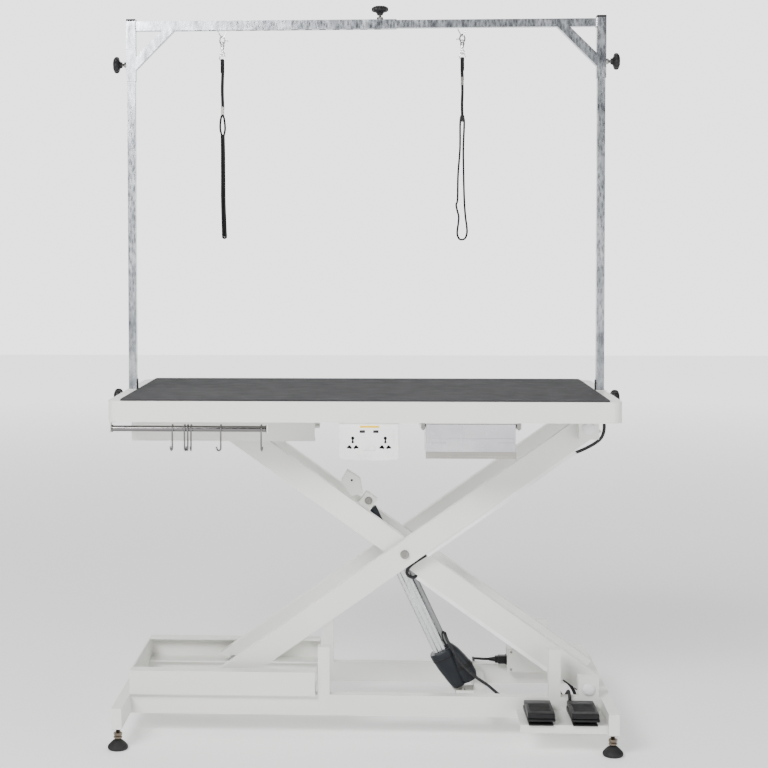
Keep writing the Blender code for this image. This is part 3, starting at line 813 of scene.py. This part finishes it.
def socket_holes(tag, x, face):
    """One socket: its universal set of openings, painted as black shade, in a slightly raised ring."""
    holes = [disc(x, 777.4, 4.1), bar(x, 772.4, 3.6, 9, 0), disc(x, 767.6, 3.1)]
    for turn in (-1, 1):
        holes += [disc(x + turn * 8.0, 756.4, 3.7), bar(x + turn * 5.8, 754.2, 7, 5.0, turn * 35),
                  bar(x + turn * 10.4, 754.2, 7.6, 4.0, 0)]
    flat_shape(f"socket_holes_{tag}", holes, face - 0.12, face + 1.2, HOLE_SHADE, "table")
    ring = [(u, face, v) for u, v in disc(x, 764, 20.5, 48)]
    swept(f"socket_ring_{tag}", ring, circle(0.45, 6), (0, 1, 0), PANEL, "table", True)


def socket_panel():
    body, slot, y = "table", "white_plastic", PANEL_Y
    bottom = [(-53 + 134 * k / 12, 724 - 3.2 * math.sin(math.pi * k / 12)) for k in range(13)]
    outline = [(-59, 815), (-59, 731), (-57.6, 726.5), *bottom, (85.6, 726.5), (87, 731), (87, 815)]
    plate = flat_shape("panel_plate", [outline], y, y + 12, PANEL, body, 2.2)
    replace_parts(plate, "socket_panel")
    block("panel_box", (-54, 82), (y + 12, -268), (729, 815), PANEL, body, slot, 2)
    face = y - 0.9
    flat_shape("panel_inset", [rounded((-46, 74), (733, 800), 3, 4)], face, y + 2, PANEL, body, 0.9)
    for tag, x in (("left", -25.4), ("right", 53.4)):
        socket_holes(tag, x, face)
    strip = rounded((-8, 39), (802.4, 807.4), 0.6, 2)
    flat_shape("panel_strip", [strip], y - 0.35, y + 1, YELLOW, body)
    for tag, x in (("left", -2.2), ("right", 30.6)):
        # Each USB mouth is a black sheet on the face, painted shade for its opening.
        mouth = rounded((x - 6.6, x + 6.6), (790, 796.6), 0.8, 2)
        flat_shape(f"usb_mouth_{tag}", [mouth], face - 0.15, face + 1, HOLE_SHADE, body)
        tongue = bar(x, 792.6, 10, 1.8, 0)
        flat_shape(f"usb_tongue_{tag}", [tongue], face - 0.3, face + 1, GREY_BAND, body)
    screw = ((0, 2.6), (0.8, 2.3), (1.1, 1.4))
    turned("panel_screw", screw, (14, face, 788), (0, -1, 0), PANEL, body, 20)
    well = rounded((-1.6, 29.6), (745, 768.4), 1.6, 3)
    flat_shape("rocker_well", [well], face - 0.5, face + 1, PANEL, body, 0.4)
    sides = ((-0.4, 747), (-3.3, 748.6), (-0.9, 757), (-1.6, 766), (-0.4, 766.6), (1, 766.6), (1, 747))
    wedge = [(face + out, z) for out, z in sides]
    for tag, x in (("left", 6.4), ("right", 21.6)):
        prism(f"rocker_{tag}", wedge, "x", x - 6.4, x + 6.4, PANEL, body, slot, 0.5, 2)


# ---- drawer ----


def tray_mesh(x, y, z, wall):
    """A thin-walled open box, its rim turned out all round but at the front."""
    bm = bmesh.new()
    levels = [
        (-1.5, z[0]), (0, z[0] + 1.5), (0, z[1] - 2), (2.4, z[1] - 2), (2.4, z[1]), (-wall, z[1]),
        (-wall, z[0] + wall + 1), (-wall - 1.5, z[0] + wall),
    ]
    rings = []
    for grow, at in levels:
        radius = 5 if grow > -3 else 3
        ring = rounded((x[0] - grow, x[1] + grow), (y[0] - min(grow, 0), y[1] + grow), radius, 4)
        rings.append([bm.verts.new((u, v, at)) for u, v in ring])
    return skin(bm, rings)


def drawer():
    body, slot = "drawer", "clear_plastic"
    tray = place_mesh("drawer_tray", tray_mesh((152, 368), (-317, -142), (729, 806), 2.6), CLEAR, body)
    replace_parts(tray, "drawer")
    front = rounded((152.4, 367.6), (730, 811.4), 2.4, 3)
    flat_shape("drawer_front", [front], -319.6, -317.2, CLEAR, body, 0.8)
    for k, z in enumerate((777, 766.5)):
        profile = [(-319.4, z - 1.3), (-320.6, z - 0.5), (-320.6, z + 0.5), (-319.4, z + 1.3)]
        for tag, x in (("left", (156, 200)), ("right", (326, 364))) if k else (("all", (156, 364)),):
            prism(f"drawer_rib_{k}_{tag}", profile, "x", x[0], x[1], CLEAR, body, slot, 0.3)
    lip = [(-319, 728.6), (-322.4, 728.6), (-323.4, 730), (-323.4, 737), (-322, 738.4), (-322, 742.4),
           (-320.2, 744.6), (-319, 744.6)]
    prism("drawer_lip", lip, "x", 151, 369, LIP, body, slot, 0.5)
    # The hanger's two ends are given the grey zinc finish as painted shade; the hanger itself is white.
    for tag, x in (("left", 145), ("right", 375)):
        half = [(-4.6, FRAME_LOW), (-4.6, 801), (-1.5, 797)]
        outline = [(x + u, z) for u, z in half] + [(x - u, z) for u, z in reversed(half)]
        flat_shape(f"hanger_end_{tag}", [outline], -321, -317.5, ZINC, "table", 0.5)


# ---- actuator ----


def on_actuator(along, across=0.0, y=0.0):
    """The place at a distance along the actuator from its foot pin, off to one side, and in y."""
    return PIN_LOW + ACTUATOR_AXIS * along + ACTUATOR_ACROSS * across + Vector((0, y, 0))


def lofted(name, rings, mat, sides=36):
    """Rings along the actuator: (along, half across, half in y, offset across, squareness)."""
    bm = bmesh.new()
    made = []
    for along, u, v, shift, square in rings:
        ring = []
        for k in range(sides):
            a = 2 * math.pi * k / sides
            c, s = math.cos(a), math.sin(a)
            x = u * math.copysign(abs(c) ** (2.0 / square), c) + shift
            y = v * math.copysign(abs(s) ** (2.0 / square), s)
            ring.append(bm.verts.new(on_actuator(along, x, y)))
        made.append(ring)
    return place_mesh(name, skin(bm, made), mat, "actuator", True, 42)


def extruded(name, section, start, end, mat):
    """A straight profile along the actuator, its section in (across, y)."""
    bm = bmesh.new()
    rings = [[bm.verts.new(on_actuator(at, u, v)) for u, v in section] for at in (start, end)]
    soften(place_mesh(name, skin(bm, rings), mat, "actuator"), 0.7)


def actuator_motor():
    """The gear housing, and beside it the motor under a moulded cover."""
    housing = lofted("motor_housing", [
        (22, 15, 19, 6, 3), (26, 17.5, 22, 5.5, 3), (50, 22, 25, 3.5, 3), (85, 27, 28.5, 1.2, 3.2),
        (118, 30.5, 31, 0, 3.4), (124, 30.5, 31, 0, 3.4), (127, 28, 28.5, 0, 3.2),
    ], MOTOR)
    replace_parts(housing, "actuator_body")
    lofted("housing_seam", [
        (106, 29.6, 30.6, 0.5, 3.3), (107, 30.2, 31.2, 0.4, 3.3), (108.4, 30.2, 31.2, 0.4, 3.3),
        (109.4, 29.9, 30.9, 0.3, 3.3),
    ], BLACK)
    lofted("motor_cover", [
        (22.5, 15, 14, 35.5, 2.2), (24, 19.5, 18, 36, 2.4), (28, 22.5, 20, 36.4, 2.5), (40, 25.5, 22, 37, 2.6),
        (62, 26, 23, 35.5, 2.6), (90, 22.5, 22.5, 31.5, 2.6), (115, 17.5, 20, 27.5, 2.5),
        (130, 12.5, 15, 24, 2.3), (136, 8.5, 10, 22.5, 2.2), (139, 4, 5, 22, 2),
    ], MOTOR)
    lofted("motor_clip", [
        (60, 26.4, 23.6, 35.6, 2.7), (61.5, 27.1, 24.2, 35.4, 2.7), (72, 26.0, 24.0, 34, 2.7),
        (73.5, 25.1, 23.3, 33.8, 2.7),
    ], BLACK)
    lofted("cover_gland", [(130, 6, 6, 23, 2), (143, 5.2, 5.2, 23, 2), (146, 3.6, 3.6, 23, 2)], BLACK)


def actuator_tube():
    """The drawn tube: a stepped profile, so that its flats and grooves catch the light apart."""
    quarter = [(-17.5, -3), (-17.5, -13), (-14.5, -17), (-6.5, -17.5), (-5.5, -16.2)]
    front = quarter + [(-u, v) for u, v in reversed(quarter)]
    half = [(-16, -2), *front, (16, -2)]
    extruded("drawn_tube", [*half, *((-u, -v) for u, v in half)], 124, TUBE_END, SILVER)
    channel = [(17.2, -9), (27, -9), (28.5, -7), (28.5, 7), (27, 9), (17.2, 9)]
    extruded("switch_channel", channel, 132, 380, DULL)
    end = ((-7, 19, 3.4), (-5, 20, 3.4), (4, 20, 3.4), (6, 18, 3.2))
    lofted("tube_end", [(TUBE_END + past, half, half, 0, square) for past, half, square in end], BLACK)


def actuator_pins():
    """The foot's eye and neck, the bolts of both pins and the plates between the inner legs."""
    eye = ((-16, 12), (-15, 14.6), (15, 14.6), (16, 12))
    turned("foot_eye", eye, PIN_LOW, (0, 1, 0), ZINC, "actuator", 28)
    neck = ((6, 10), (16, 11), (26, 15))
    turned("foot_neck", neck, PIN_LOW, ACTUATOR_AXIS, ZINC, "actuator", 24)
    head = ((20.2, 9.6), (22, 10.4), (22, 8.3), (27.4, 8.3), (28.4, 7.2), (28.4, 4), (25, 3.6), (25, 0.5))
    foot = ((29.2, 10), (30.6, 10), (30.6, 8.4), (36, 8.4), (37, 7.2))
    plate = [(-46, 656), (-12, 634), (-6, 596), (-36, 588), (-62, 628)]
    for side, tag in SIDES_Y:
        axis = (0, side, 0)
        turned(f"top_bolt_{tag}", head, PIN_TOP, axis, ZINC, "inner_legs", 24)
        turned(f"foot_bolt_{tag}", foot, PIN_LOW, axis, ZINC, "base", 6 if side < 0 else 24)
        near, far = sorted((side * 15.2, side * 19.8))
        prism(f"cross_plate_{tag}", plate, "y", near, far, WHITE, "inner_legs", "white_paint", 0.8)
    # A black disc on the cross plate paints the shade of its hole.
    hole = ((0, 3.0), (0.3, 2.8))
    turned("plate_hole", hole, (-34, -19.8, 631), (0, -1, 0), HOLE_SHADE, "inner_legs", 16)


def actuator():
    actuator_motor()
    actuator_tube()
    actuator_pins()


# ---- base pieces ----


def pedals():
    for tag, x0, x1 in (("left", 398, 466), ("right", 505, 573)):
        body, slot, middle = f"pedal_{tag}", "black_plastic", (x0 + x1) / 2
        skirt = [(-192, 81), (-192, 90), (-198, 94), (-312, 94), (-316, 92), (-316, 88), (-310, 86.5)]
        made = prism(f"pedal_skirt_{tag}", skirt, "x", x0, x1, BLACK, body, slot, 2.2, 3)
        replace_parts(made, f"pedal_{tag}")
        plate = [(-191, 95), (-191, 102), (-195, 106), (-226, 107.4), (-300, 109), (-313, 106.6),
                 (-315.6, 102), (-315.6, 95)]
        prism(f"pedal_plate_{tag}", plate, "x", x0 + 1.2, x1 - 1.2, BLACK, body, slot, 2.4, 3)
        band = [(-192.2, 104.4), (-195, 106.7), (-225, 108.2), (-226.4, 106.8)]
        prism(f"pedal_band_{tag}", band, "x", x0 + 2, x1 - 2, GREY_BAND, body, slot, 0.5)
        tread = bmesh.new()
        for k in range(11):
            y = -233 - 6.2 * k
            low = 107.6 + 0.0216 * (-226 - y)
            rib = [(y - 1.5, low), (y - 0.9, low + 0.7), (y + 0.9, low + 0.7), (y + 1.5, low)]
            prism_mesh(tread, rib, "x", x0 + 8, x1 - 8)
        place_mesh(f"pedal_tread_{tag}", tread, BLACK, body)
        pin = ((-1, 4.4), (0.5, 4.2), (1.2, 3.2))
        for side, x, end in ((-1, x0, "l"), (1, x1, "r")):
            turned(f"pedal_pin_{tag}_{end}", pin, (x, -206, 93), (side, 0, 0), BLACK, body, 20)
        block(f"pedal_pad_{tag}", (x0 + 4, x1 - 4), (-311, -196), (76.2, 79.4), RUBBER, "base", slot, 0.8)
        gland = ((0, 6.4), (3, 6.4), (4, 5.0), (12, 4.4))
        turned(f"pedal_gland_{tag}", gland, (middle + 8, -192, 90), (0, 1, 0), BLACK, "base", 20)


def levelling_foot(tag, x, y):
    """A rubber dome on a threaded stud with two nuts, and the plug that closes the tube above."""
    body, place, up = f"foot_{tag}", (x, y, 0), (0, 0, 1)
    rubber = ((0, 21), (0.8, 23), (3, 25), (6, 25.5), (8.5, 25.2), (12, 23.2), (18, 17.6), (22.5, 12.4),
              (24.6, 9.6), (25.2, 6))
    made = turned(f"foot_dome_{tag}", rubber, place, up, RUBBER, body, 40)
    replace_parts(made, body)
    stud = [(24, 6.0), *thread(25, 1.12, 27, 5.4, 4.5), (56, 4.6)]
    turned(f"foot_stud_{tag}", stud, place, up, STUD, body, 24)
    for k, (z, tall) in enumerate(((27.5, 6.0), (34.5, 8.5))):
        nut = ((z, 9.6), (z + 1, 11), (z + tall - 1, 11), (z + tall, 9.6))
        turned(f"foot_nut_{k}_{tag}", nut, place, up, STUD, body, 6, sharp=20)
    block(f"tube_plug_{tag}", (x - 12, x + 12), (y - 23, y + 23), (54.6, 56.4), BLACK, "base",
          "black_plastic", 0.6)


def levelling_feet():
    for side_x, tag_x in SIDES_X:
        for side_y, tag_y in SIDES_Y:
            levelling_foot(f"{tag_x}_{tag_y}", side_x * FOOT_X, side_y * FOOT_Y)


def pivot_caps():
    """Domed caps on the two shafts, and the screws where the legs cross."""
    washer, cap = ((0, 17), (1.4, 17.2), (1.8, 15)), [(0.5, 15.4), *dome(2.0, 15.6, 6.2, 7)]
    for tag, y, z, body in (("lower", 175.2, PIVOT_Z, "base"), ("upper", 160.2, TOP_Z, "table")):
        for side, where in SIDES_Y:
            place, axis = (PIVOT_X, side * y, z), (0, side, 0)
            turned(f"pivot_washer_{tag}_{where}", washer, place, axis, WHITE, body, 40)
            turned(f"pivot_cap_{tag}_{where}", cap, place, axis, CAP, body, 40)
    centre = ((PIVOT_X + ROLLER_X) / 2, 0, (PIVOT_Z + TOP_Z) / 2)
    bolt = ((58, 12), (59.7, 12), (59.7, 8), (125.2, 8), (125.2, 11.6), (126.2, 11.6), (126.2, 10.2),
            (130.4, 10.4), (131.6, 9.6), (131.9, 5.2), (128.8, 4.8), (128.8, 0.5))
    recess = ((127.2, 4.7), (129.2, 4.7))
    for side, where in SIDES_Y:
        axis, body, slot = (0, side, 0), "outer_legs", "zinc_steel"
        made = turned(f"centre_screw_{where}", bolt, centre, axis, ZINC, body, 36)
        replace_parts(made, f"centre_bolt_{where}")
        turned(f"centre_socket_{where}", recess, centre, axis, ZINC, body, 6, sharp=20)


def box_details():
    block("box_lid", (383, 550), (92.6, 96.4), (101, 160), WHITE, "base", "white_paint", 1.2)
    screw = ((0, 3.6), (1.2, 3.2), (1.9, 2))
    for k, (x, z) in enumerate(((390, 107), (543, 107), (390, 154), (543, 154))):
        turned(f"box_screw_{k}", screw, (x, 92.6, z), (0, -1, 0), ZINC, "base", 18)
    inlet = rounded((106, 134), (116, 140), 3, 3)
    prism("box_inlet", inlet, "x", 376.5, 380.6, BLACK, "base", "black_plastic", 0.8)
    # The vents are thin black blocks on the box, painted shade for their openings.
    for k, x in enumerate((420, 460, 500)):
        block(f"box_vent_{k}", (x - 14, x + 14), (144.4, 145.5), (126, 130), HOLE_SHADE, "base", "black_plastic",
              0.4)


# ---- cables ----

# Routes, in millimetres.
MAINS_RUN = [
    (335, 120, 128), (318, 121, 128), (303, 128, 127), (294, 142, 124), (292, 160, 121), (294, 182, 113),
    (297, 202, 96), (298, 222, 78), (297, 246, 62), (294, 270, 50), (290, 295, 40), (284, 320, 31),
    (275, 345, 22), (264, 370, 12), (255, 394, 5.5), (250, 412, 3.7), (248.5, 430, 3.5),
]
MOTOR_RUN = [
    (209, -10, 230), (214, -20, 216), (223, -28, 200), (243, -31, 165), (262, -33, 143), (288, -37, 121),
    (318, -42, 102), (337, -46, 87), (354, -49, 74), (372, -50, 60), (396, -44, 44), (430, -20, 34),
    (470, 40, 32),
    (503, 90, 34), (514, 112, 46), (517, 118, 70), (517, 118, 97.3),
]
MAINS_TAIL = [(248.5, 430, 17.5), (250, 448, 20), (258, 462, 24), (276, 470, 25.5), (298, 466, 25)]
COIL_CENTRE = (290, 430)
COIL_RADII, COIL_HEIGHTS = (41.5, 34.5, 34.5, 41.5, 41.5), (3.5, 3.5, 10.5, 10.5, 17.5)
COIL_STEPS = 32
MAINS_D, MAINS_LENGTH = 7, 1.7
PEDAL_RUN = [
    (515, -181.5, 96), (515, -180, 113), (515, -150, 118), (512, -120, 100), (508, -80, 86), (506, 0, 80),
    (503, 60, 80), (502, 88, 82), (500, 106, 92),
]
CENTRE_RUN = [
    (170, -110, 463), (156, -110, 452), (136, -109, 439), (119, -104, 425), (109, -96, 409),
    (113, -86, 395), (126, -78, 389), (140, -75, 396),
]
UPPER_RUN = [
    (530, -110, 716), (547, -110, 722), (565, -112, 731), (582, -119, 742), (596, -130, 756),
    (603, -134, 774), (604, -134, 794), (599, -132, 811), (588, -126, 826),
]
LOWER_RUN = [
    (500, -75, 133), (513, -76, 126), (525, -80, 117), (534, -87, 105), (539, -97, 92), (541, -108, 80),
    (540, -122, 68),
]


def coil_points():
    """Five turns, side by side and on each other, starting at the coil's left."""
    points = []
    for turn, (radius, height) in enumerate(zip(COIL_RADII, COIL_HEIGHTS)):
        last = turn == len(COIL_RADII) - 1
        r1, z1 = (radius, height) if last else (COIL_RADII[turn + 1], COIL_HEIGHTS[turn + 1])
        for k in range(COIL_STEPS + (1 if last else 0)):
            share = max(0.0, (k / COIL_STEPS - 0.75) / 0.25)
            r, z = radius + (r1 - radius) * share, height + (z1 - height) * share
            a = math.pi - 2 * math.pi * k / COIL_STEPS
            points.append(Vector((COIL_CENTRE[0] + r * math.cos(a), COIL_CENTRE[1] + r * math.sin(a), z)))
    return points


def mains_cord():
    points = [*smooth_path(MAINS_RUN, 4)[:-1], *coil_points(), *smooth_path(MAINS_TAIL, 4)[1:]]
    curve = bpy.data.curves.new("mains_lead", "CURVE")
    curve.dimensions = "3D"
    curve.bevel_depth = MAINS_D / 2 * MM
    curve.bevel_resolution = 4
    curve.use_fill_caps = True
    line = curve.splines.new("POLY")
    line.points.add(len(points) - 1)
    for point, at in zip(line.points, points):
        point.co = (*(at * MM), 1.0)
    lead = add_object("mains_lead", curve)
    curve.materials.append(CABLE)
    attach(lead, "base")
    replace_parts(lead, "mains_cord")
    pieces = mains_connector() + mains_plug()


def mains_connector():
    """The appliance connector in the box's inlet, with its ribbed strain relief."""
    body, slot = "base", "black_plastic"
    made = []
    shell = rounded((107, 133), (117.5, 138.5), 3.5, 4)
    made.append(prism("inlet_connector", shell, "x", 357, 377, BLACK, body, slot, 1.2, 3))
    grip = [(113, 119), (127, 119), (130, 124), (130, 132), (127, 137), (113, 137), (110, 132), (110, 124)]
    made.append(prism("connector_grip", grip, "x", 349, 358, BLACK, body, slot, 1.0))
    relief = [(0, 7.5)]
    for k in range(5):
        along, rib, groove = 3.4 * k, 0.6 * k, 0.4 * k
        relief += [(1 + along, 7.4 - rib), (2.6 + along, 7.2 - rib), (2.9 + along, 5.6 - groove),
                   (3.9 + along, 5.5 - groove)]
    made.append(turned("connector_relief", relief, (350, 120, 128), (-1, 0, 0), BLACK, body, 24))
    return made


def mains_plug():
    """A plain two-pin plug past the end of the lead, lying against the coil."""
    body, slot = "base", "black_plastic"
    start = Vector((298, 466, 25))
    axis = Vector((0.96, -0.14, -0.24)).normalized()
    made = []
    profile = [(-3, 4.6), (0, 5.4), (7, 6.6), (9, 8.6), (20, 9.6), (30, 10.2), (34, 9.6), (35, 8)]
    made.append(turned("plug_body", profile, start, axis, BLACK, body, 28))
    across = axis.cross(Vector((0, 0, 1))).normalized()
    pin = ((34, 2.0), (51, 2.0), (53, 1.2))
    for k, side in enumerate((-1, 1)):
        place = start + across * side * 4.6
        made.append(turned(f"plug_pin_{k}", pin, place, axis, BRIGHT, body, 16))
    return made


def cable_tube(name, route, radius, side, mat, sides=14):
    points = smooth_path(route, 5)
    return swept(name, points, circle(radius, sides), side, mat, None), points


def attached_cable(name, route, radius, side, bodies, node=None):
    """A braided cable on its one body; one that spans a joint between two bodies rides on neither."""
    made, points = cable_tube(name, route, radius, side, BRAID)
    if len(bodies) == 2:
        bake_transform(made)
    else:
        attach(made, bodies[0])
    if node:
        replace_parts(made, node)


def leg_b_place(s, p):
    """The place (x, z) at s along leg b from its right end and p above its centre line."""
    c, h = math.cos(LEG_ANGLE), math.sin(LEG_ANGLE)
    return PIVOT_X - s * c + p * h, PIVOT_Z + s * h + p * c


def cables():
    mains_cord()
    attached_cable("pedal_lead", PEDAL_RUN, 4, (1, 0.05, 0.02), ("base",), "pedal_cable")
    attached_cable("motor_lead", MOTOR_RUN, 4, (0.05, 1, 0.02), ("base", "actuator"), "motor_cable")
    side = (0.02, 1, 0.05)
    attached_cable("centre_loop", CENTRE_RUN, 4.2, side, ("inner_legs", "outer_legs"), None)
    attached_cable("upper_loop", UPPER_RUN, 4.2, side, ("outer_legs", "table"), None)
    attached_cable("lower_loop", LOWER_RUN, 4.2, side, ("base", "inner_legs"), None)
    outline = [leg_b_place(s, p) for s, p in ((44, -40.3), (92, -40.3), (92, -30.3), (44, -30.3))]
    prism("duct_b_end", outline, "y", -88, -63, DUCT, "inner_legs", "white_plastic", 1.0)
    sling = [(216, -21, 216), (207, -16, 234), (202, -14, 226), (207, -17, 208), (216, -20, 194)]
    made, _ = cable_tube("motor_sling", sling, 1.8, (0, 1, 0.02), CABLE, 10)
    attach(made, "actuator")


# ---- build ----

camera()
studio()
dress_cad()
knobs()
post_caps()
arm_slots()
arm_welds()
leashes()
rail_and_hooks()
socket_panel()
drawer()
actuator()
pedals()
levelling_feet()
pivot_caps()
box_details()
cables()
